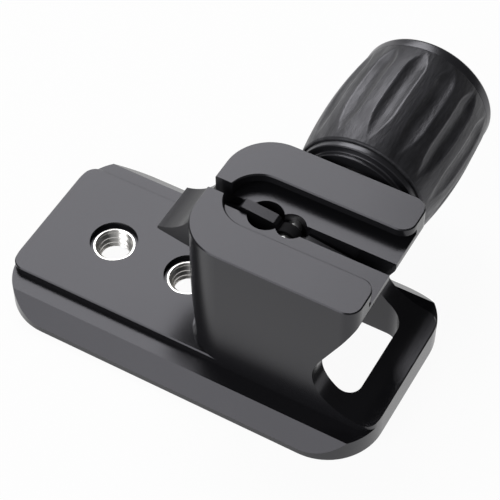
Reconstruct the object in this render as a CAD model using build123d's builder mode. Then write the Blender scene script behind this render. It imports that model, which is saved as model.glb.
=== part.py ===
from build123d import *
import os
from math import atan2, degrees, hypot

# Quick release plate for a long lens. A one-piece dovetail foot carries a leaning neck with a
# split T-slot clamp on top. A knob on a through screw closes the two jaws, and a sprung lever
# in the slit holds the lens rail until its thumb tab is pressed.
# X runs along the plate with the clamp at +X, the knob stands out towards +Y, and the origin
# is the centre of the plate's bottom face. All sizes are in millimetres.

# Dovetail plate
plate_length = 69.2
plate_width = 38.0
edge_height = 1.35
flank_height = 3.0
platform_rise = 1.45
ledge_width = 3.17
plate_corner = 10.0
platform_corner = 2.4
edge_break = 0.2

# Two screw holes with steel thread inserts, on the plate's centre line
hole_end_distance = 13.07
hole_pitch = 14.76
counterbore_diameter = 8.36
counterbore_depth = 1.0
insert_outer = 7.16
insert_bore = 5.12
insert_lift = 0.4
insert_lead = 0.35

# Head and neck, measured from the plate's bottom face and from the head's left end
head_start = -1.65
head_length = 31.8
head_height = 32.78
head_corner = 7.8
head_end_corner = 2.4
neck_lean = 10.2
neck_toe_setback = 0.4
neck_toe_radius = 3.0
shoulder_drop = 1.8
waist_depth = 6.6
waist_height = 13.6
toe_reach = 3.25
slope_rise = 5.6
slope_run = 1.77
slope_angle = 27.0
nose_radius = 2.5

# T-slot for the lens rail
channel_width = 10.9
channel_depth = 2.68
channel_wall = 2.95
undercut_width = 16.2
lip_thickness = 1.5
mouth_corner = 2.4

# Slit that frees the two jaws
slit_width = 2.44
slit_floor = 16.5

# Window milled up through the plate under the head
window_setback = 5.2
window_length = 10.5
window_width = 18.8
window_corner = 3.0
window_ceiling = 13.5

# Clamp screw and its knob
screw_setback = 13.55
screw_height = 24.3
screw_diameter = 5.0
screw_clearance = 0.05
jaw_clearance = 0.25
screw_reach = 10.2
screw_tip_gap = 0.5
screw_head_diameter = 8.5
screw_head_length = 5.0
screw_socket = 4.0
screw_socket_depth = 2.6
head_seat_depth = 10.0
washer_diameter = 15.0
washer_thickness = 1.05
ring_diameter = 19.2
ring_thickness = 0.9
collar_diameter = 21.0
collar_width = 1.2
hub_diameter = 19.2
grip_base_diameter = 22.9
grip_barrel_diameter = 25.0
grip_end_diameter = 23.6
grip_length = 23.2
grip_base_taper = 7.0
grip_end_taper = 6.6
grip_lip = 0.5
flute_count = 14
flute_depth = 0.65
flute_radius = 2.4
end_ring_width = 2.4
end_ring_break = 0.6
cap_thickness = 0.8
cap_recess = 0.4
cap_plug_length = 1.5
press_clearance = 0.02

# Release lever, its pivot pin and its spring
lever_thickness = 1.9
pin_setback = 18.05
pin_drop = 2.6
pin_diameter = 2.5
pin_near_depth = 6.0
pin_recess = 0.5
pin_clearance = 0.05
boss_diameter = 4.0
relief_offset = 0.4
relief_diameter = 5.0
relief_depth = 5.2
catch_start = 5.35
catch_length = 6.7
catch_height = 0.9
catch_fall = 0.9
catch_bevel = 0.5
catch_step = 2.2
boss_gap = 1.3
tab_gap = 1.7
tab_length = 5.9
tab_width = 9.3
tab_base_height = 20.4
tab_back_height = 6.3
tab_tip_rise = 1.2
tab_tip_height = 0.6
tab_scoop = 0.75
tab_round = 0.35
arm_root_height = 4.4
tail_setback = 2.5
tail_ramp = 0.6
tail_length = 8.2
tail_end_thickness = 0.95
tail_fall = 1.2
tail_root_rise = 0.9
screw_gap = 0.3
spring_bore_setback = 9.7
spring_bore_diameter = 6.0
spring_bore_floor = 18.2
spring_diameter = 5.2
spring_wire = 0.5
spring_turns = 2.5
spring_seat_drop = 5.5
spring_gap = 0.05

# Places worked out from the sizes above
plate_end = plate_length / 2
ledge_height = edge_height + flank_height
platform_top = ledge_height + platform_rise
platform_side = plate_width / 2 - flank_height - ledge_width
platform_width = 2 * platform_side
first_hole = -plate_end + hole_end_distance
second_hole = first_hole + hole_pitch
head_end = head_start + head_length
channel_floor = head_height - channel_depth
channel_center = head_start + channel_wall + channel_width / 2
undercut_center = head_start + channel_wall + undercut_width / 2
screw_x = head_end - screw_setback
pin_x = head_end - pin_setback
pin_z = channel_floor - pin_drop
spring_x = head_start + spring_bore_setback
screw_line = Axis((screw_x, 0, screw_height), (0, 1, 0))
turning_plane = Plane(origin=(screw_x, 0, screw_height), x_dir=(0, 1, 0), z_dir=(1, 0, 0))


# Plan shape of the raised platform: the plate's round outline between two straight sides
with BuildSketch() as platform_plan:
    RectangleRounded(plate_length, plate_width, plate_corner)
    Rectangle(plate_length + plate_corner, platform_width, mode=Mode.INTERSECT)
    side_corners = platform_plan.vertices().group_by(Axis.Y)
    fillet(side_corners[0] + side_corners[-1], platform_corner)

# Plan shape of the head and neck: round left corners, head corners at the right above the
# waist, and the platform's own corners below it
with BuildPart() as head_envelope:
    with BuildSketch() as head_plan:
        with Locations((head_start + head_length / 2, 0)):
            Rectangle(head_length, platform_width)
        fillet(head_plan.vertices().group_by(Axis.X)[0], head_corner)
        fillet(head_plan.vertices().group_by(Axis.X)[-1], head_end_corner)
    extrude(amount=head_height)
    with BuildSketch() as neck_plan:
        add(platform_plan.sketch)
        with Locations((head_start + plate_length / 2, 0)):
            Rectangle(plate_length, plate_width, mode=Mode.INTERSECT)
        fillet(neck_plan.vertices().group_by(Axis.X)[0], head_corner)
    extrude(amount=waist_height)

# Neck and head: one side profile across the platform's width, trimmed by the plan shape.
# The left wall leans in and flares into a concave toe, and the right side is hollowed to a
# waist between an overhanging nose and a long toe.
with BuildPart() as neck:
    with BuildSketch(Plane.XZ) as side_profile:
        with BuildLine():
            left_toe = (head_start + neck_toe_setback, platform_top)
            flare = JernArc(left_toe, (1, 0), neck_toe_radius, 90 + neck_lean)
            shoulder = (head_start, head_height - shoulder_drop)
            wall = Spline(flare @ 1, shoulder, tangents=(flare % 1, (0, 1)))
            left_edge = Line(wall @ 1, (head_start, head_height))
            top_edge = Line(left_edge @ 1, (head_end, head_height))
            waist = (head_end - waist_depth, waist_height)
            right_toe = (head_end + toe_reach, platform_top)
            toe_curve = EllipticalCenterArc(
                (right_toe[0], waist_height),
                right_toe[0] - waist[0],
                waist_height - platform_top,
                start_angle=180,
                arc_size=90,
            )
            slope_direction = Vector(1, 0).rotate(Axis.Z, 90 - slope_angle)
            slope_start = Vector(waist[0] + slope_run, waist_height + slope_rise)
            hollow = Spline(waist, slope_start, tangents=((0, 1), slope_direction))
            slope_stretch = (head_end - slope_start.X) / slope_direction.X
            nose = slope_start + slope_direction * slope_stretch
            slope = Line(slope_start, nose)
            end_edge = Line(nose, top_edge @ 1)
            Polyline(
                left_toe,
                (left_toe[0], ledge_height),
                (right_toe[0], ledge_height),
                right_toe,
            )
        make_face()
        fillet(side_profile.vertices().sort_by_distance(nose)[0], nose_radius)
    extrude(amount=platform_side, both=True)
    add(head_envelope.part, mode=Mode.INTERSECT)

# Foot: dovetail plate, platform, neck and head, milled from one block
with BuildPart() as foot_body:
    with BuildSketch(Plane.YZ.offset(-plate_end)) as dovetail_section:
        with BuildLine():
            flank_side = plate_width / 2 - flank_height
            right_half = Polyline(
                (0, 0),
                (plate_width / 2, 0),
                (plate_width / 2, edge_height),
                (flank_side, ledge_height),
                (0, ledge_height),
            )
            mirror(right_half, about=Plane.YZ)
        make_face()
    extrude(amount=plate_length)
    with BuildSketch() as plate_plan:
        RectangleRounded(plate_length, plate_width, plate_corner)
    extrude(amount=ledge_height, mode=Mode.INTERSECT)
    extrude(platform_plan.sketch, amount=platform_top)
    chamfer(foot_body.faces().sort_by(Axis.Z)[0].outer_wire().edges(), edge_break)
    chamfer(foot_body.faces().sort_by(Axis.Z)[-1].outer_wire().edges(), edge_break)
    add(neck.part)

    # T-slot: a channel with a round closed end, and an undercut beneath its lips
    overrun = head_end + mouth_corner
    with BuildSketch(Plane.XY.offset(head_height)) as channel:
        with Locations((channel_center, 0)):
            Circle(channel_width / 2)
        with Locations(((channel_center + overrun) / 2, 0)):
            Rectangle(overrun - channel_center, channel_width)
        flare_side = channel_width / 2 + mouth_corner
        with Locations((head_end, 0)):
            Rectangle(2 * mouth_corner, 2 * flare_side)
        with Locations((head_end - mouth_corner, flare_side), (head_end - mouth_corner, -flare_side)):
            Circle(mouth_corner, mode=Mode.SUBTRACT)
    extrude(amount=-channel_depth, mode=Mode.SUBTRACT)
    chamfer(foot_body.faces().sort_by(Axis.Z)[-1].outer_wire().edges(), edge_break)
    with BuildSketch(Plane.XY.offset(channel_floor)) as undercut:
        with Locations((undercut_center, 0)):
            Circle(undercut_width / 2)
        with Locations(((undercut_center + overrun) / 2, 0)):
            Rectangle(overrun - undercut_center, undercut_width)
    extrude(amount=channel_depth - lip_thickness, mode=Mode.SUBTRACT)

    # Slit with a round floor, from the left wall to the hollow on the right
    with BuildSketch(Plane.YZ.offset(head_start)) as slit:
        with Locations((0, slit_floor + slit_width / 2)):
            Circle(slit_width / 2)
        with Locations((0, (slit_floor + slit_width / 2 + head_height) / 2)):
            Rectangle(slit_width, head_height - slit_floor - slit_width / 2)
    extrude(amount=head_length, mode=Mode.SUBTRACT)

    # Spring bore and relief hole, drilled down through the channel's floor
    with BuildSketch(Plane.XY.offset(channel_floor)):
        with Locations((spring_x, 0)):
            Circle(spring_bore_diameter / 2)
    extrude(amount=spring_bore_floor - channel_floor, mode=Mode.SUBTRACT)
    with BuildSketch(Plane.XY.offset(channel_floor)):
        with Locations((pin_x + relief_offset, 0)):
            Circle(relief_diameter / 2)
    extrude(amount=-relief_depth, mode=Mode.SUBTRACT)

    # Pivot pin hole and clamp screw bore, drilled from the knob's side
    jaw_face = Plane(origin=(0, platform_side, 0), x_dir=(1, 0, 0), z_dir=(0, -1, 0))
    with BuildSketch(jaw_face):
        with Locations((pin_x, pin_z)):
            Circle(pin_diameter / 2 + press_clearance)
    extrude(amount=platform_side + pin_near_depth, mode=Mode.SUBTRACT)
    with BuildSketch(jaw_face):
        with Locations((screw_x, screw_height)):
            Circle(screw_diameter / 2 + jaw_clearance)
    extrude(amount=platform_side, mode=Mode.SUBTRACT)
    with BuildSketch(jaw_face):
        with Locations((screw_x, screw_height)):
            Circle(screw_diameter / 2 + screw_clearance)
    extrude(amount=platform_side + screw_reach + screw_tip_gap, mode=Mode.SUBTRACT)

    # Window up through the plate and into the hollow under the head
    with BuildSketch() as window:
        with Locations((plate_end - window_setback - window_length / 2, 0)):
            RectangleRounded(window_length, window_width, window_corner)
    extrude(amount=window_ceiling, mode=Mode.SUBTRACT)

    # Counterbored holes for the two thread inserts
    with Locations((first_hole, 0, platform_top), (second_hole, 0, platform_top)):
        CounterBoreHole(
            radius=insert_outer / 2 + press_clearance,
            counter_bore_radius=counterbore_diameter / 2,
            counter_bore_depth=counterbore_depth,
            depth=platform_top,
        )

# Steel thread inserts, chamfered at the top of the bore
insert_length = platform_top - counterbore_depth - insert_lift


def thread_insert(x):
    """One steel insert on the centre line at x, with a lead-in at the top of its bore."""
    with BuildPart(Plane((x, 0, insert_lift))) as insert:
        Cylinder(insert_outer / 2, insert_length, align=(Align.CENTER, Align.CENTER, Align.MIN))
        Hole(insert_bore / 2)
        chamfer(insert.faces().sort_by(Axis.Z)[-1].inner_wires().edges(), insert_lead)
    return insert


front_thread_insert = thread_insert(first_hole)
rear_thread_insert = thread_insert(second_hole)

# Thrust washer between the far jaw and the knob
washer_face = platform_side + washer_thickness
with BuildPart() as thrust_washer:
    with BuildSketch(jaw_face):
        with Locations((screw_x, screw_height)):
            Circle(washer_diameter / 2)
            Circle(screw_diameter / 2 + jaw_clearance, mode=Mode.SUBTRACT)
    extrude(amount=-washer_thickness)

# Knob core: a turned spool with a front ring, a collar and a hub for the grip
ring_back = washer_face + ring_thickness
grip_start = ring_back + collar_width
grip_end = grip_start + grip_length
knob_end = grip_end + end_ring_width
hub_end = knob_end - cap_recess - cap_thickness
core_bore = screw_diameter / 2 + press_clearance
head_pocket = screw_head_diameter / 2 + press_clearance
head_seat = washer_face + head_seat_depth
with BuildPart() as knob_core:
    with BuildSketch(turning_plane):
        with BuildLine():
            Polyline(
                (washer_face, core_bore),
                (washer_face, ring_diameter / 2),
                (ring_back, ring_diameter / 2),
                (ring_back, collar_diameter / 2 - edge_break),
                (ring_back + edge_break, collar_diameter / 2),
                (grip_start, collar_diameter / 2),
                (grip_start, hub_diameter / 2),
                (hub_end, hub_diameter / 2),
                (hub_end, head_pocket),
                (head_seat, head_pocket),
                (head_seat, core_bore),
                close=True,
            )
        make_face()
    revolve(axis=screw_line)

# Rubber grip: a barrel that tapers both ways, with straight flutes that run out to a point on
# the two tapers, one of them on top
grip_bore = hub_diameter / 2 + press_clearance
flute_line = grip_barrel_diameter / 2 - flute_depth + flute_radius
grip_plane = Plane(origin=(screw_x, grip_start, screw_height), x_dir=(1, 0, 0), z_dir=(0, 1, 0))
with BuildPart() as knob_grip:
    with BuildSketch(turning_plane):
        with BuildLine():
            base_side = grip_base_diameter / 2
            barrel_side = grip_barrel_diameter / 2
            Polyline(
                (grip_start, grip_bore),
                (grip_start, base_side - grip_lip),
                (grip_start + grip_lip, base_side),
                (grip_start + grip_base_taper, barrel_side),
                (grip_end - grip_end_taper, barrel_side),
                (grip_end, grip_end_diameter / 2),
                (grip_end, grip_bore),
                close=True,
            )
        make_face()
    revolve(axis=screw_line)
    with BuildSketch(grip_plane):
        with PolarLocations(flute_line, flute_count, start_angle=180 / flute_count):
            Circle(flute_radius)
    extrude(amount=grip_length, mode=Mode.SUBTRACT)

# End ring that traps the grip on the hub, with a broad chamfer at its free edge
with BuildPart() as knob_end_ring:
    with BuildSketch(turning_plane) as ring_section:
        with BuildLine():
            ring_outer = grip_end_diameter / 2
            Polyline(
                (grip_end, grip_bore),
                (grip_end, ring_outer),
                (knob_end, ring_outer),
                (knob_end, grip_bore),
                close=True,
            )
        make_face()
        chamfer(
            ring_section.vertices().sort_by_distance((knob_end, ring_outer))[0],
            end_ring_break,
        )
    revolve(axis=screw_line)

# Cap disc pressed into the end ring, with a plug in the core's bore
with BuildPart() as knob_cap:
    with BuildSketch(turning_plane):
        with BuildLine():
            Polyline(
                (hub_end - cap_plug_length, 0),
                (hub_end - cap_plug_length, head_pocket - press_clearance),
                (hub_end, head_pocket - press_clearance),
                (hub_end, hub_diameter / 2),
                (hub_end + cap_thickness, hub_diameter / 2),
                (hub_end + cap_thickness, 0),
                close=True,
            )
        make_face()
    revolve(axis=screw_line)

# Clamp screw: a socket head cap screw from inside the knob to the near jaw
with BuildPart() as clamp_screw:
    with BuildSketch(turning_plane):
        with BuildLine():
            Polyline(
                (-screw_reach, 0),
                (-screw_reach, screw_diameter / 2),
                (head_seat, screw_diameter / 2),
                (head_seat, screw_head_diameter / 2),
                (head_seat + screw_head_length, screw_head_diameter / 2),
                (head_seat + screw_head_length, 0),
                close=True,
            )
        make_face()
    revolve(axis=screw_line)
    socket_plane = Plane(
        origin=(screw_x, head_seat + screw_head_length, screw_height), z_dir=(0, 1, 0)
    )
    with BuildSketch(socket_plane):
        RegularPolygon(screw_socket / 2, 6, major_radius=False)
    extrude(amount=-screw_socket_depth, mode=Mode.SUBTRACT)

# Release lever: thumb tab, arm, catch, pivot boss and tail, one piece 1.9 mm thick in the slit
catch_x = head_start + catch_start
catch_end = catch_x + catch_length
catch_top = channel_floor + catch_height
tab_back = head_start - tab_gap
tab_tip = tab_back - tab_length
tab_top = tab_base_height + tab_back_height
tip_base = tab_base_height + tab_tip_rise
arm_root = tab_back - tab_gap / 2
spring_top = channel_floor - spring_seat_drop
spring_side = spring_bore_diameter / 2
tail_start = pin_x + tail_setback
tail_end = tail_start + tail_length
tail_top = pin_z + tail_root_rise
tail_tip = tail_top - tail_fall
tail_under = screw_height + screw_diameter / 2 + screw_gap
with BuildPart() as release_lever:
    with BuildSketch(Plane.XZ):
        with BuildLine():
            Polyline(
                (arm_root, tip_base),
                (arm_root, tip_base + arm_root_height),
                (catch_x, catch_top - catch_step),
                (catch_x, catch_top - catch_bevel),
                (catch_x + catch_bevel, catch_top),
                (catch_end - catch_bevel, catch_top - catch_fall + catch_bevel / 2),
                (catch_end, catch_top - catch_fall - catch_bevel / 2),
                (catch_end + catch_bevel, pin_z + boss_gap),
                (tail_start, pin_z),
                (tail_start + tail_ramp, tail_top),
                (tail_end, tail_tip),
                (tail_end, tail_tip - tail_end_thickness),
                (screw_x + screw_diameter / 4, tail_under),
                (pin_x + boss_diameter / 2, tail_under),
                (pin_x, pin_z - boss_diameter / 2),
                (spring_x + spring_side, spring_top),
                (spring_x - spring_side, spring_top),
                close=True,
            )
        make_face()
        with Locations((pin_x, pin_z)):
            Circle(boss_diameter / 2)
            Circle(pin_diameter / 2 + pin_clearance, mode=Mode.SUBTRACT)
    extrude(amount=lever_thickness / 2, both=True)
    with BuildSketch(Plane.XZ) as tab_profile:
        with BuildLine():
            tip_top = Vector(tab_tip, tip_base + tab_tip_height)
            back_top = Vector(tab_back, tab_top)
            middle = (tip_top + back_top) / 2
            across = (back_top - tip_top).normalized().rotate(Axis.Z, -90)
            ThreePointArc(tip_top, middle + across * tab_scoop, back_top)
            Polyline(back_top, (tab_back, tab_base_height), (tab_tip, tip_base), tip_top)
        make_face()
        fillet(tab_profile.vertices().group_by(Axis.X)[0], tab_round / 2)
    extrude(amount=tab_width / 2, both=True)

# Pivot pin, pushed in from the knob's side and blind in the near jaw
with BuildPart() as lever_pivot_pin:
    with BuildSketch(jaw_face.offset(pin_recess)):
        with Locations((pin_x, pin_z)):
            Circle(pin_diameter / 2)
    extrude(amount=platform_side - pin_recess + pin_near_depth - press_clearance)

# Lever spring: a coil of square wire that stands on the bore's floor and lifts the catch
coil_radius = (spring_diameter - spring_wire) / 2
coil_base = spring_bore_floor + spring_gap + spring_wire / 2
coil_rise = spring_top - spring_gap - spring_wire / 2 - coil_base
with BuildPart() as lever_spring:
    with BuildLine():
        coil = Helix(
            pitch=coil_rise / spring_turns,
            height=coil_rise,
            radius=coil_radius,
            center=(spring_x, 0, coil_base),
        )
    with BuildSketch(Plane(origin=coil @ 0, z_dir=coil % 0)):
        Rectangle(spring_wire, spring_wire)
    sweep(path=coil, is_frenet=True)

pieces = {
    "foot_body": foot_body,
    "front_thread_insert": front_thread_insert,
    "rear_thread_insert": rear_thread_insert,
    "thrust_washer": thrust_washer,
    "knob_core": knob_core,
    "knob_grip": knob_grip,
    "knob_end_ring": knob_end_ring,
    "knob_cap": knob_cap,
    "clamp_screw": clamp_screw,
    "release_lever": release_lever,
    "lever_pivot_pin": lever_pivot_pin,
    "lever_spring": lever_spring,
}
os.makedirs("parts", exist_ok=True)
for name, piece in pieces.items():
    piece.part.label = name
    export_step(piece.part, f"parts/{name}.step")
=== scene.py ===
from math import radians

import bpy
import numpy as np
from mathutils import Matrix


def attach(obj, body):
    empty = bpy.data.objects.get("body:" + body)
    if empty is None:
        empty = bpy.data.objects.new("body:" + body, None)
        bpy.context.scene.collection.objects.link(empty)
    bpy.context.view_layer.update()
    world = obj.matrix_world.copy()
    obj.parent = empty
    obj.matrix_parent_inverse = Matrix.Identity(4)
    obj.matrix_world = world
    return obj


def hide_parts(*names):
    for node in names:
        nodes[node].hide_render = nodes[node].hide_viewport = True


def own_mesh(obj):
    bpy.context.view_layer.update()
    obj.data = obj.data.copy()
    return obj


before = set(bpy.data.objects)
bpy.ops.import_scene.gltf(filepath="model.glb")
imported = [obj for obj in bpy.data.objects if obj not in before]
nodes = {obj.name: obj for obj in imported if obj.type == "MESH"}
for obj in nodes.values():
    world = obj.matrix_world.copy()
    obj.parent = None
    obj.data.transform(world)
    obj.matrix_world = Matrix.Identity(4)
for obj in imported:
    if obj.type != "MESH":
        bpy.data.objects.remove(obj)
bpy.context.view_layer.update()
scene = bpy.context.scene

# The foot is one block of aluminium: dovetail plate, leaning neck and split head are milled in
# a few set-ups. It is blasted very fine and anodised black, so that it mirrors what stands
# near it in a soft way and turns bright where it is seen at a low angle.
FOOT_BLACK = (0.0095, 0.0095, 0.011)
FOOT_GLOSS = 0.24
COOL_GLOSS = (0.93, 0.92, 1.0, 1.0)


def dyed_oxide(name, colour, index, roughness, grain_depth):
    """Black anodised aluminium: a dark dyed colour under a clear oxide skin of the given
    index, whose gloss is a shade cooler than white. The skin's roughness is the given one with
    a slow cloud of a tenth either way, and its bump is a fine grain of the given depth in
    metres."""
    finish = bpy.data.materials.new(name)
    finish.use_nodes = True
    tree = finish.node_tree
    skin = tree.nodes["Principled BSDF"]
    skin.inputs["Base Color"].default_value = (*colour, 1.0)
    skin.inputs["IOR"].default_value = index
    skin.inputs["Specular Tint"].default_value = COOL_GLOSS
    place = tree.nodes.new("ShaderNodeTexCoord")
    cloud = tree.nodes.new("ShaderNodeTexNoise")
    cloud.inputs["Scale"].default_value = 70.0
    cloud.inputs["Detail"].default_value = 3.0
    tree.links.new(place.outputs["Object"], cloud.inputs["Vector"])
    spread = tree.nodes.new("ShaderNodeMapRange")
    spread.inputs["To Min"].default_value = roughness * 0.9
    spread.inputs["To Max"].default_value = roughness * 1.1
    tree.links.new(cloud.outputs["Fac"], spread.inputs["Value"])
    tree.links.new(spread.outputs["Result"], skin.inputs["Roughness"])
    grain = tree.nodes.new("ShaderNodeTexNoise")
    grain.inputs["Scale"].default_value = 6000.0
    grain.inputs["Detail"].default_value = 1.0
    tree.links.new(place.outputs["Object"], grain.inputs["Vector"])
    relief = tree.nodes.new("ShaderNodeBump")
    relief.inputs["Strength"].default_value = 0.3
    relief.inputs["Distance"].default_value = grain_depth
    tree.links.new(grain.outputs["Fac"], relief.inputs["Height"])
    tree.links.new(relief.outputs["Normal"], skin.inputs["Normal"])
    return finish


def dress(node, finish):
    """Gives one CAD node its finish."""
    nodes[node].data.materials.clear()
    nodes[node].data.materials.append(finish)


dress("foot_body", dyed_oxide("anodised_foot", FOOT_BLACK, 1.42, FOOT_GLOSS, 0.000002))

# The two thread inserts are turned stainless steel bushes with a 1/4 inch, 20 per inch camera
# thread inside. They are pressed up from below until they stand a millimetre under the
# counterbore's rim, and their bright bore and thread are left as cut.
INSERT_PLACES = {"front_thread_insert": -0.02153, "rear_thread_insert": -0.00677}
INSERT_SIDE = 0.00358
INSERT_FOOT = 0.0004
INSERT_TOP = 0.0048
THREAD_CREST = 0.00256
THREAD_ROOT = 0.00312
THREAD_PITCH = 0.00127
INSERT_MOUTH = 0.0033
MOUTH_SLOPE = 0.8


def surface(name, grid, close_rows, finish):
    """A mesh from a grid of points, rows by columns. The columns always close on themselves.
    The rows close too if close_rows is true, and otherwise each end row gets one flat face.
    If the volume inside the faces comes out negative, every face is turned round."""
    rows, columns = grid.shape[:2]
    points = grid.reshape(-1, 3)
    row = np.arange(rows if close_rows else rows - 1)[:, None]
    column = np.arange(columns)[None, :]
    over = (row + 1) % rows
    beside = (column + 1) % columns
    quads = np.stack(
        [
            row * columns + column,
            row * columns + beside,
            over * columns + beside,
            over * columns + column,
        ],
        axis=-1,
    ).reshape(-1, 4)
    a, b, c, d = (points[quads[:, corner]] for corner in range(4))
    volume = np.einsum("ij,ij->", a, np.cross(b, c)) + np.einsum("ij,ij->", a, np.cross(c, d))
    faces = quads.tolist()
    if not close_rows:
        faces.append(np.arange(columns)[::-1].tolist())
        faces.append((np.arange(columns) + (rows - 1) * columns).tolist())
    if volume < 0:
        faces = [face[::-1] for face in faces]
    mesh = bpy.data.meshes.new(name)
    mesh.from_pydata(points.tolist(), [], faces)
    mesh.shade_smooth()
    mesh.set_sharp_from_angle(angle=radians(32))
    mesh.materials.append(finish)
    piece = bpy.data.objects.new(name, mesh)
    scene.collection.objects.link(piece)
    return piece


def steel(name, colour, roughness, streaks):
    """Bare steel: a full metal whose roughness runs in fine turned bands round the piece, the
    bands being noise that is stretched level and read by height. The streaks number sets
    how many bands go into a metre."""
    finish = bpy.data.materials.new(name)
    finish.use_nodes = True
    tree = finish.node_tree
    skin = tree.nodes["Principled BSDF"]
    skin.inputs["Base Color"].default_value = (*colour, 1.0)
    skin.inputs["Metallic"].default_value = 1.0
    place = tree.nodes.new("ShaderNodeTexCoord")
    stretch = tree.nodes.new("ShaderNodeMapping")
    stretch.inputs["Scale"].default_value = (0.05, 0.05, 1.0)
    tree.links.new(place.outputs["Object"], stretch.inputs["Vector"])
    bands = tree.nodes.new("ShaderNodeTexNoise")
    bands.inputs["Scale"].default_value = streaks
    bands.inputs["Detail"].default_value = 2.0
    tree.links.new(stretch.outputs["Vector"], bands.inputs["Vector"])
    spread = tree.nodes.new("ShaderNodeMapRange")
    spread.inputs["To Min"].default_value = roughness * 0.7
    spread.inputs["To Max"].default_value = roughness * 1.3
    tree.links.new(bands.outputs["Fac"], spread.inputs["Value"])
    tree.links.new(spread.outputs["Result"], skin.inputs["Roughness"])
    return finish


def threaded_bush(name, x, finish):
    """A bush that stands on the line at x. Its section is a loop: up the outside, in over the
    top, down the bore and out under the foot. The bore's radius is the crest plus the thread's
    depth times a flattened triangle wave of height over pitch less turn, and never less than
    a steep cone that starts from the mouth at either end, so that the thread runs out in it."""
    turn = np.linspace(0.0, 2 * np.pi, 96, endpoint=False)[None, :]
    height = np.linspace(INSERT_TOP, INSERT_FOOT, 110)[:, None]
    wave = np.abs(2 * ((height / THREAD_PITCH - turn / (2 * np.pi)) % 1.0) - 1)
    cut = np.clip((wave - 0.12) / 0.76, 0.0, 1.0)
    thread = THREAD_CREST + (THREAD_ROOT - THREAD_CREST) * cut
    from_end = np.minimum(INSERT_TOP - height, height - INSERT_FOOT)
    bore = np.maximum(thread, INSERT_MOUTH - MOUTH_SLOPE * from_end)
    outside = np.full((2, turn.shape[1]), INSERT_SIDE)
    radius = np.concatenate([outside, bore])
    level = np.concatenate([[[INSERT_FOOT], [INSERT_TOP]], height]) + 0 * turn
    grid = np.stack([x + radius * np.cos(turn), radius * np.sin(turn), level], axis=-1)
    piece = surface(name + "_threaded", grid, True, finish)
    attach(piece, "foot")
    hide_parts(name)


bright_steel = steel("bright_insert_steel", (0.74, 0.73, 0.71), 0.3, 9000.0)
for insert, place_x in INSERT_PLACES.items():
    dress(insert, bright_steel)
    threaded_bush(insert, place_x, bright_steel)

# The thrust washer is a plain ring punched from steel sheet and blackened. It lies between the
# far jaw and the knob, round the clamp screw, and takes the rubbing as the knob turns.
dress("thrust_washer", dyed_oxide("blackened_washer", (0.02, 0.02, 0.02), 1.5, 0.36, 0.000002))

# The knob's core, its end ring and its cap are turned from aluminium bar and anodised black
# with the fine turned gloss left on. The core carries the grip on its hub, the ring is pressed
# on behind the grip, and the cap closes the bore over the clamp screw's head.
SCREW_X = 0.0166
SCREW_HEIGHT = 0.0243
CORE_SECTION = (
    (0.01388, 0.00252, 0.0),
    (0.01388, 0.00960, 0.00015),
    (0.01478, 0.00960, 0.00035),
    (0.01482, 0.01060, 0.0001),
    (0.01482, 0.01085, 0.00025),
    (0.01598, 0.01090, 0.0001),
    (0.01598, 0.00960, 0.0),
    (0.04038, 0.00960, 0.0002),
    (0.04038, 0.00427, 0.0),
    (0.02388, 0.00427, 0.0),
    (0.02388, 0.00252, 0.0),
)
END_RING_SECTION = (
    (0.03918, 0.00962, 0.0),
    (0.03918, 0.01180, 0.00015),
    (0.04098, 0.01180, 0.0003),
    (0.04158, 0.01120, 0.0003),
    (0.04158, 0.00962, 0.0001),
)


CORNER_STEPS = 6


def turned_ring(name, section, finish):
    """A ring turned about the knob's axis. Its section is a closed outline of corners, each
    with its place along the axis, its radius and a length. A corner is rounded by the
    quadratic curve that starts that length before it, aims at it and ends that length past."""
    corner = np.array(section)
    tip = corner[:, :2]
    length = corner[:, 2:]
    before = np.roll(tip, 1, axis=0) - tip
    after = np.roll(tip, -1, axis=0) - tip
    start = tip + length * before / np.linalg.norm(before, axis=1, keepdims=True)
    end = tip + length * after / np.linalg.norm(after, axis=1, keepdims=True)
    share = np.linspace(0.0, 1.0, CORNER_STEPS)[None, :, None]
    curve = (
        (1 - share) ** 2 * start[:, None]
        + 2 * share * (1 - share) * tip[:, None]
        + share**2 * end[:, None]
    )
    rounded = (length > 0)[:, None] | (np.arange(CORNER_STEPS) == 0)[None, :, None]
    outline = curve[rounded[:, :, 0]]
    turn = np.linspace(0.0, 2 * np.pi, 128, endpoint=False)[None, :]
    place = outline[:, :1] + 0 * turn
    x = SCREW_X + outline[:, 1:] * np.cos(turn)
    z = SCREW_HEIGHT + outline[:, 1:] * np.sin(turn)
    return surface(name, np.stack([x, place, z], axis=-1), True, finish)


turned_black = dyed_oxide("turned_black_knob", (0.014, 0.014, 0.016), 1.6, 0.3, 0.000001)
dress("knob_cap", turned_black)
for node, section in (("knob_core", CORE_SECTION), ("knob_end_ring", END_RING_SECTION)):
    dress(node, turned_black)
    ring = turned_ring(node + "_turned", section, turned_black)
    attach(ring, "knob")
    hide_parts(node)

# The grip is a moulded rubber sleeve, drawn over the core's hub and held between the collar and
# the end ring. Its barrel has fourteen straight flutes that run out to a point at both ends,
# whose edges are a little glossier and painted paler as a painted highlight.
GRIP_START = 0.01598
GRIP_END = 0.03918
GRIP_BORE = 0.00962
GRIP_LIP = 0.0005
BARREL_BASE = 0.01145
BARREL_MIDDLE = 0.01252
BARREL_END = 0.0118
FLUTES = 14
FLUTE_DEPTH = 0.0006
FLUTE_BEND = 210.0
FLUTE_START = 0.0006
FLUTE_RUN_IN = 0.0075
FLUTE_STOP = 0.0002
FLUTE_RUN_OUT = 0.0048
FLUTE_EDGE = 0.00004
HIGHLIGHT_REACH = 0.00009


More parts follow.
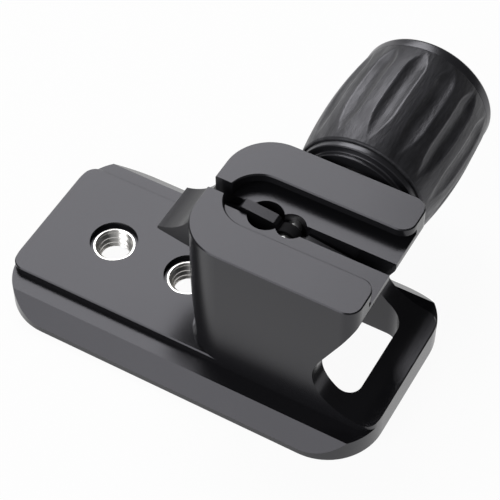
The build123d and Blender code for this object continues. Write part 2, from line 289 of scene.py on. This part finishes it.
def fluted_grip(finish):
    """The sleeve as turn by length. The barrel's radius is the parabola through its base,
    middle and end. A flute's depth is its full depth, eased in over the first and last few
    millimetres, less its bend times the square of the arc from its middle line. Where that is
    above nothing it comes off the barrel, with the two edges rounded over. The section goes
    from the bore over the rounded lip and along the barrel back to the bore. The attribute
    painted_edge_highlight is a bell curve of the flute's depth about nothing: it is one along
    the two edges of each flute, and fades to nothing in its middle and on the ridge beside it.
    It carries a painted highlight."""
    turn = np.linspace(0.0, 2 * np.pi, FLUTES * 32, endpoint=False)[None, :]
    bend = np.linspace(0.0, np.pi / 2, 7)[:, None]
    along = np.linspace(GRIP_START + GRIP_LIP, GRIP_END, 110)[:, None]
    low, high = GRIP_START + GRIP_LIP, GRIP_END
    middle = (GRIP_START + GRIP_END) / 2
    barrel = (
        BARREL_BASE * (along - middle) * (along - high) / ((low - middle) * (low - high))
        + BARREL_MIDDLE * (along - low) * (along - high) / ((middle - low) * (middle - high))
        + BARREL_END * (along - low) * (along - middle) / ((high - low) * (high - middle))
    )
    step = 2 * np.pi / FLUTES
    off = (turn + np.pi / 2) % step
    arc = BARREL_MIDDLE * np.minimum(off, step - off)
    from_base = np.clip((along - GRIP_START - FLUTE_START) / FLUTE_RUN_IN, 0.0, 1.0)
    from_end = np.clip((GRIP_END - FLUTE_STOP - along) / FLUTE_RUN_OUT, 0.0, 1.0)
    ease = from_base**2 * (3 - 2 * from_base) * from_end**2 * (3 - 2 * from_end)
    cut = FLUTE_DEPTH * ease - FLUTE_BEND * arc**2
    soft = FLUTE_EDGE * ease
    body = barrel - (cut + np.sqrt(cut**2 + soft**2)) / 2
    lip_radius = BARREL_BASE - GRIP_LIP + GRIP_LIP * np.sin(bend[:-1]) + 0 * turn
    lip_place = GRIP_START + GRIP_LIP - GRIP_LIP * np.cos(bend[:-1])
    bore = np.full((1, turn.shape[1]), GRIP_BORE)
    radius = np.concatenate([bore, lip_radius, body, bore])
    place = np.concatenate([[[GRIP_START]], lip_place, along, [[GRIP_END]]]) + 0 * turn
    x = SCREW_X + radius * np.cos(turn)
    z = SCREW_HEIGHT + radius * np.sin(turn)
    piece = surface("fluted_grip", np.stack([x, place, z], axis=-1), True, finish)
    # This attribute marks where the flutes' edges get a painted highlight.
    painted_edge_highlight = np.zeros_like(radius)
    painted_edge_highlight[1 + len(lip_radius) : -1] = ease * np.exp(-((cut / HIGHLIGHT_REACH) ** 2))
    edge_highlight_attribute = piece.data.attributes.new("painted_edge_highlight", "FLOAT", "POINT")
    edge_highlight_attribute.data.foreach_set("value", painted_edge_highlight.astype(np.float32).ravel())
    return piece


def moulded_rubber(name):
    """Black rubber: a dark grey with cloudy streaks in its tone that run along the knob, matt
    where it is dark and a little glossier where it is pale, over a fine mould grain that runs
    the same way. The streaks are noise whose lengthwise coordinate is shrunk to a fifth, and
    the attribute painted_edge_highlight adds to them, so that the flutes' edges are pale, as a
    painted highlight, and smooth."""
    finish = bpy.data.materials.new(name)
    finish.use_nodes = True
    tree = finish.node_tree
    skin = tree.nodes["Principled BSDF"]
    skin.inputs["Specular Tint"].default_value = COOL_GLOSS
    place = tree.nodes.new("ShaderNodeTexCoord")
    drawn = tree.nodes.new("ShaderNodeMapping")
    drawn.inputs["Scale"].default_value = (1.0, 0.2, 1.0)
    tree.links.new(place.outputs["Object"], drawn.inputs["Vector"])
    patches = tree.nodes.new("ShaderNodeTexNoise")
    patches.inputs["Scale"].default_value = 700.0
    patches.inputs["Detail"].default_value = 5.0
    patches.inputs["Roughness"].default_value = 0.6
    tree.links.new(drawn.outputs["Vector"], patches.inputs["Vector"])
    tone = tree.nodes.new("ShaderNodeValToRGB")
    tone.color_ramp.elements[0].position = 0.35
    tone.color_ramp.elements[0].color = (0.006, 0.006, 0.007, 1.0)
    tone.color_ramp.elements[1].position = 0.85
    tone.color_ramp.elements[1].color = (0.050, 0.050, 0.055, 1.0)
    edge_highlight_attribute = tree.nodes.new("ShaderNodeAttribute")
    edge_highlight_attribute.attribute_name = "painted_edge_highlight"
    # The attribute's share makes the flutes' edges paler: a painted highlight over the random
    # streaks.
    streaks_and_painted_highlight = tree.nodes.new("ShaderNodeMath")
    streaks_and_painted_highlight.operation = "MULTIPLY_ADD"
    streaks_and_painted_highlight.inputs[1].default_value = 0.6
    tree.links.new(edge_highlight_attribute.outputs["Fac"], streaks_and_painted_highlight.inputs[0])
    tree.links.new(patches.outputs["Fac"], streaks_and_painted_highlight.inputs[2])
    tree.links.new(streaks_and_painted_highlight.outputs["Value"], tone.inputs["Fac"])
    tree.links.new(tone.outputs["Color"], skin.inputs["Base Color"])
    gloss = tree.nodes.new("ShaderNodeMapRange")
    gloss.inputs["From Min"].default_value = 0.3
    gloss.inputs["From Max"].default_value = 0.8
    gloss.inputs["To Min"].default_value = 0.5
    gloss.inputs["To Max"].default_value = 0.3
    tree.links.new(streaks_and_painted_highlight.outputs["Value"], gloss.inputs["Value"])
    tree.links.new(gloss.outputs["Result"], skin.inputs["Roughness"])
    grain = tree.nodes.new("ShaderNodeTexNoise")
    grain.inputs["Scale"].default_value = 2500.0
    grain.inputs["Detail"].default_value = 2.0
    tree.links.new(drawn.outputs["Vector"], grain.inputs["Vector"])
    relief = tree.nodes.new("ShaderNodeBump")
    relief.inputs["Strength"].default_value = 0.6
    relief.inputs["Distance"].default_value = 0.00008
    tree.links.new(grain.outputs["Fac"], relief.inputs["Height"])
    tree.links.new(relief.outputs["Normal"], skin.inputs["Normal"])
    return finish


black_rubber = moulded_rubber("moulded_black_rubber")
dress("knob_grip", black_rubber)
grip = fluted_grip(black_rubber)
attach(grip, "knob")
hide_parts("knob_grip")

# The clamp screw is a socket head cap screw of black oxide steel. Its head sits in the knob's
# core, and its shank runs through both jaws into the near one, so that the knob draws them
# together.
dress("clamp_screw", dyed_oxide("black_oxide_screw", (0.02, 0.02, 0.021), 1.5, 0.3, 0.000001))

# The release lever is milled from one steel blank and blackened: a thumb tab, an arm through
# the slit, a catch bar that stands up in the lens slot, and a thin tail behind the pivot. The
# boss round the pivot is matt and painted near black as painted shade, the tail is painted pale
# as painted light, and the rest is smooth.
PIVOT = (0.0121, 0.0, 0.0275)
BOSS_INSIDE = 0.0019
BOSS_OUTSIDE = 0.0025
TAIL_START = 0.0022
TAIL_PAINTED_LIGHT_FULL = 0.0028
BOSS_ROUGHNESS = 1.0
LEVER_ROUGHNESS = 0.26


def oxide_with_painted_shade_and_light(name):
    """The black oxide, with its tone and its roughness replaced by ones that go from black and
    matt to grey and smooth as the distance from the pivot's axis goes from just inside the
    boss's edge to just past it; the near black on the boss is painted shade. The tone turns
    pale where the tail starts, by length alone, as painted light."""
    finish = dyed_oxide(name, (0.010, 0.010, 0.011), 1.42, LEVER_ROUGHNESS, 0.000001)
    tree = finish.node_tree
    place = tree.nodes.new("ShaderNodeTexCoord")
    flat = tree.nodes.new("ShaderNodeMapping")
    flat.inputs["Location"].default_value = (-PIVOT[0], 0.0, -PIVOT[2])
    flat.inputs["Scale"].default_value = (1.0, 0.0, 1.0)
    tree.links.new(place.outputs["Object"], flat.inputs["Vector"])
    reach = tree.nodes.new("ShaderNodeVectorMath")
    reach.operation = "LENGTH"
    tree.links.new(flat.outputs["Vector"], reach.inputs[0])
    boss_matt_and_shade = tree.nodes.new("ShaderNodeMapRange")
    boss_matt_and_shade.inputs["From Min"].default_value = BOSS_INSIDE
    boss_matt_and_shade.inputs["From Max"].default_value = BOSS_OUTSIDE
    boss_matt_and_shade.inputs["To Min"].default_value = BOSS_ROUGHNESS
    boss_matt_and_shade.inputs["To Max"].default_value = LEVER_ROUGHNESS
    tree.links.new(reach.outputs["Value"], boss_matt_and_shade.inputs["Value"])
    tree.links.new(boss_matt_and_shade.outputs["Result"], tree.nodes["Principled BSDF"].inputs["Roughness"])
    # The boss's darker tone is painted shade, standing in for the shadow in its recess.
    boss_painted_shade = tree.nodes.new("ShaderNodeValToRGB")
    boss_painted_shade.color_ramp.elements[0].position = LEVER_ROUGHNESS
    boss_painted_shade.color_ramp.elements[0].color = (0.010, 0.010, 0.011, 1.0)
    boss_painted_shade.color_ramp.elements[1].position = BOSS_ROUGHNESS
    boss_painted_shade.color_ramp.elements[1].color = (0.001, 0.001, 0.001, 1.0)
    tree.links.new(boss_matt_and_shade.outputs["Result"], boss_painted_shade.inputs["Fac"])
    # The tail's pale tone is painted light, standing in for light reaching its top.
    parts = tree.nodes.new("ShaderNodeSeparateXYZ")
    tree.links.new(place.outputs["Object"], parts.inputs["Vector"])
    tail_painted_light_mask = tree.nodes.new("ShaderNodeMapRange")
    tail_painted_light_mask.inputs["From Min"].default_value = PIVOT[0] + TAIL_START
    tail_painted_light_mask.inputs["From Max"].default_value = PIVOT[0] + TAIL_PAINTED_LIGHT_FULL
    tree.links.new(parts.outputs["X"], tail_painted_light_mask.inputs["Value"])
    tail_painted_light = tree.nodes.new("ShaderNodeMixRGB")
    tail_painted_light.inputs["Color2"].default_value = (0.16, 0.16, 0.17, 1.0)
    tree.links.new(tail_painted_light_mask.outputs["Result"], tail_painted_light.inputs["Fac"])
    tree.links.new(boss_painted_shade.outputs["Color"], tail_painted_light.inputs["Color1"])
    tree.links.new(tail_painted_light.outputs["Color"], tree.nodes["Principled BSDF"].inputs["Base Color"])
    return finish


dress("release_lever", oxide_with_painted_shade_and_light("lever_painted_shade_and_light"))

# The pivot pin is a ground steel dowel, pushed in from the knob's side through the far jaw and
# the lever into a blind hole in the near jaw.
dress("lever_pivot_pin", steel("ground_pin_steel", (0.7, 0.7, 0.7), 0.42, 4000.0))

# The lever's spring is a coil of round drawn wire that stands on the floor of its bore and
# lifts the catch. The lever's underside presses on its top.
COIL_X = 0.00805
COIL_FOOT = 0.01825
COIL_TOP = 0.02455
COIL_RADIUS = 0.00235
WIRE_RADIUS = 0.00025
COIL_TURNS = 2.5


def wire_coil(finish):
    """A tube on a helix. Its centre goes round the coil's radius and rises evenly with the
    turn, and the wire is a circle across the helix's own direction, spanned by the outward
    direction and the one square to it."""
    turn = np.linspace(0.0, 2 * np.pi * COIL_TURNS, 193)[:, None]
    round_wire = np.linspace(0.0, 2 * np.pi, 12, endpoint=False)[None, :]
    rise = (COIL_TOP - COIL_FOOT - 2 * WIRE_RADIUS) / (2 * np.pi * COIL_TURNS)
    slope = np.hypot(COIL_RADIUS, rise)
    outward = WIRE_RADIUS * np.cos(round_wire)
    across = WIRE_RADIUS * np.sin(round_wire)
    x = COIL_X + (COIL_RADIUS + outward) * np.cos(turn) + across * rise / slope * np.sin(turn)
    y = (COIL_RADIUS + outward) * np.sin(turn) - across * rise / slope * np.cos(turn)
    z = COIL_FOOT + WIRE_RADIUS + rise * turn + across * COIL_RADIUS / slope
    return surface("spring_coil", np.stack([x, y, z], axis=-1), False, finish)


spring_wire = steel("drawn_spring_wire", (0.45, 0.45, 0.46), 0.3, 5000.0)
dress("lever_spring", spring_wire)
coil = wire_coil(spring_wire)
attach(coil, "foot")
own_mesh(coil)
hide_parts("lever_spring")

# The stand is a plain white sheet in a dim grey room, whose wall in front of the part is
# paler. Seen straight, in a gloss or through glass the sheet is white paper, and it keeps the
# part's soft shadow.
FLOOR_REACH = 3.0
PAPER_SHARE = 0.95
FRONT_WALL = 0.28
BACK_WALL = 0.08


def seen_share(tree):
    """One where a ray comes from the camera, from a gloss or through glass, and otherwise
    nothing: the greatest of Light Path's three answers."""
    path = tree.nodes.new("ShaderNodeLightPath")
    first = tree.nodes.new("ShaderNodeMath")
    first.operation = "MAXIMUM"
    tree.links.new(path.outputs["Is Camera Ray"], first.inputs[0])
    tree.links.new(path.outputs["Is Glossy Ray"], first.inputs[1])
    both = tree.nodes.new("ShaderNodeMath")
    both.operation = "MAXIMUM"
    tree.links.new(first.outputs["Value"], both.inputs[0])
    tree.links.new(path.outputs["Is Transmission Ray"], both.inputs[1])
    return both.outputs["Value"]


floor_mesh = bpy.data.meshes.new("floor")
floor_mesh.from_pydata(
    [
        (-FLOOR_REACH, -FLOOR_REACH, 0.0),
        (FLOOR_REACH, -FLOOR_REACH, 0.0),
        (FLOOR_REACH, FLOOR_REACH, 0.0),
        (-FLOOR_REACH, FLOOR_REACH, 0.0),
    ],
    [],
    [(0, 1, 2, 3)],
)
paper = bpy.data.materials.new("white_sheet")
paper.use_nodes = True
paper_tree = paper.node_tree
matt = paper_tree.nodes["Principled BSDF"]
matt.inputs["Base Color"].default_value = (0.86, 0.86, 0.86, 1.0)
matt.inputs["Roughness"].default_value = 0.9
white = paper_tree.nodes.new("ShaderNodeEmission")
white.inputs["Color"].default_value = (1.0, 1.0, 1.0, 1.0)
white.inputs["Strength"].default_value = 1.0
share = paper_tree.nodes.new("ShaderNodeMath")
share.operation = "MULTIPLY"
share.inputs[1].default_value = PAPER_SHARE
paper_tree.links.new(seen_share(paper_tree), share.inputs[0])
blend = paper_tree.nodes.new("ShaderNodeMixShader")
paper_tree.links.new(share.outputs["Value"], blend.inputs["Fac"])
paper_tree.links.new(matt.outputs["BSDF"], blend.inputs[1])
paper_tree.links.new(white.outputs["Emission"], blend.inputs[2])
paper_tree.links.new(
    blend.outputs["Shader"], paper_tree.nodes["Material Output"].inputs["Surface"]
)
floor_mesh.materials.append(paper)
floor = bpy.data.objects.new("floor", floor_mesh)
scene.collection.objects.link(floor)

room = bpy.data.worlds.new("grey_room")
scene.world = room
room.use_nodes = True
air = room.node_tree.nodes["Background"]
air.inputs["Color"].default_value = (1.0, 1.0, 1.0, 1.0)
aim = room.node_tree.nodes.new("ShaderNodeTexCoord")
sides = room.node_tree.nodes.new("ShaderNodeSeparateXYZ")
room.node_tree.links.new(aim.outputs["Generated"], sides.inputs["Vector"])
wall = room.node_tree.nodes.new("ShaderNodeMapRange")
wall.inputs["From Min"].default_value = -0.5
wall.inputs["From Max"].default_value = 0.3
wall.inputs["To Min"].default_value = FRONT_WALL
wall.inputs["To Max"].default_value = BACK_WALL
room.node_tree.links.new(sides.outputs["Y"], wall.inputs["Value"])
room.node_tree.links.new(wall.outputs["Result"], air.inputs["Strength"])

# The light is three soft boxes: a large one behind and overhead, which the level faces mirror,
# one in front at the left, which the near dovetail flank mirrors, and a low one at the left
# that runs along the thumb tab and the left of the knob.


def soft_box(name, side, glow, place):
    """A square area lamp that faces the part from place. Its power is its glow, which is the
    brightness of its face, times its area times pi."""
    lamp_data = bpy.data.lights.new(name, "AREA")
    lamp_data.size = side
    lamp_data.energy = glow * side * side * np.pi
    lamp = bpy.data.objects.new(name, lamp_data)
    scene.collection.objects.link(lamp)
    lamp.location = place
    x, y, z = place
    lamp.rotation_euler = (np.arctan2(np.hypot(x, y), z), 0.0, np.arctan2(y, x) + np.pi / 2)
    return lamp


soft_box("overhead_box", 0.5, 5.2, (-0.36, 0.41, 0.60))
soft_box("front_box", 0.46, 3.8, (-0.24, -0.60, 0.42))
soft_box("left_box", 0.36, 1.2, (-0.74, 0.46, 0.19))

# The camera is a long lens close above the part, where the photograph was taken from. It
# looks down and aside by the two angles, in degrees.
LOOK_DOWN = 51.353
LOOK_ASIDE = 29.324
lens = bpy.data.cameras.new("camera")
lens.lens = 126.64
lens.sensor_width = 36.0
camera = bpy.data.objects.new("camera", lens)
camera.location = (0.0917, -0.15393, 0.24053)
camera.rotation_euler = (radians(90 - LOOK_DOWN), 0.0, radians(LOOK_ASIDE))
scene.collection.objects.link(camera)
scene.camera = camera
scene.view_settings.view_transform = "Standard"
